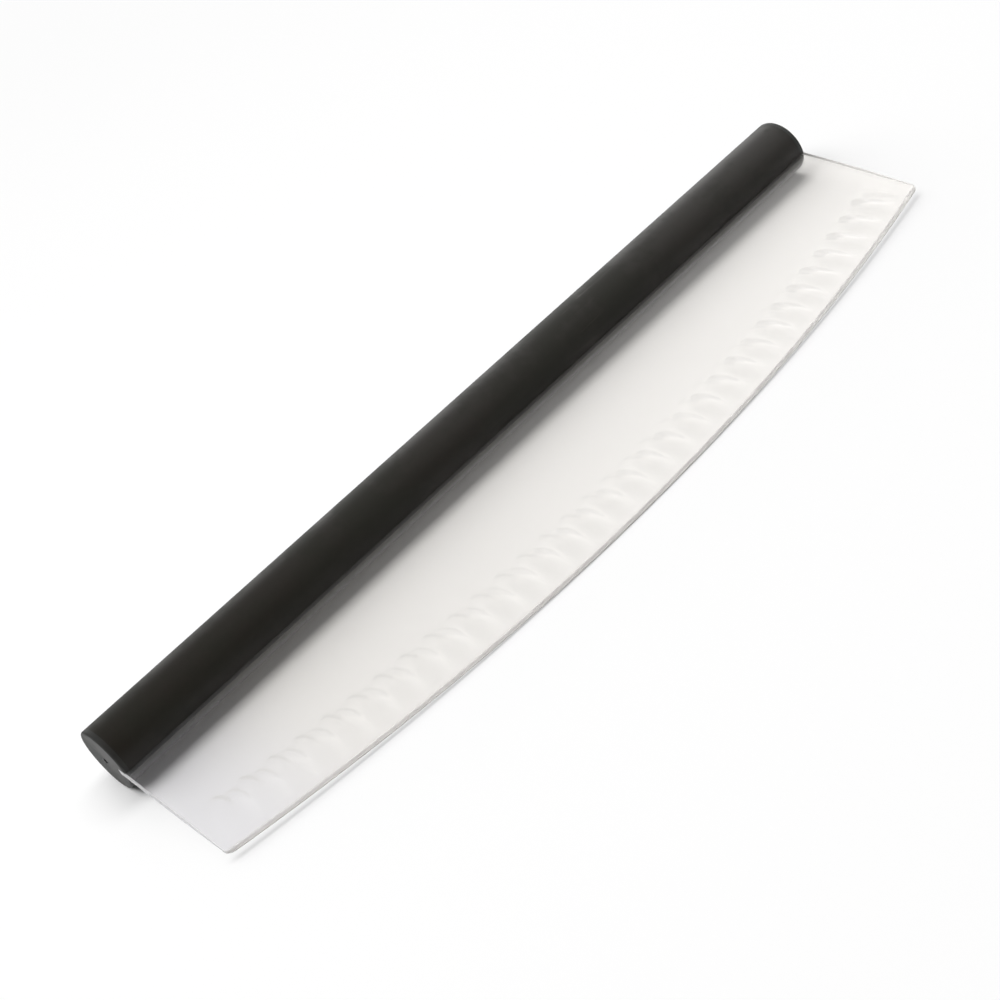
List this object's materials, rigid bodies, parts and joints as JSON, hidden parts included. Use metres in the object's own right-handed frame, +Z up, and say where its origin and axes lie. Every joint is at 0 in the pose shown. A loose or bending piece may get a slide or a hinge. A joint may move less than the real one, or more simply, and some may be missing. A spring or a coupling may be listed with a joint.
{
  "type": "rocking pizza knife",
  "caption": "Long rocking pizza knife: a clear moulded blade with a curved, fluted edge, set along a round black handle with flat end caps.",
  "frame": {"origin": "middle of the outer box, on the table that the knife lies on", "axes": "+X along the handle to its right end, +Z up from the table, the blade's curved edge faces -Y"},
  "size_m": [0.356, 0.0942, 0.024],
  "materials": {
    "clear_plastic": "clear, smooth moulded plastic with fluted edge",
    "black_grip": "fine matte",
    "black_cap": "matte, faintly coarse",
    "core_plastic": "as moulded",
    "fastener_steel": "plain stainless"
  },
  "bodies": {
    "root": {"blade": "clear_plastic", "grip_sleeve": "black_grip", "upper_core": "core_plastic", "lower_core": "core_plastic", "clamp_screws": "fastener_steel", "clamp_nuts": "fastener_steel", "left_end_cap": "black_cap", "right_end_cap": "black_cap"}
  },
  "joints": []
}
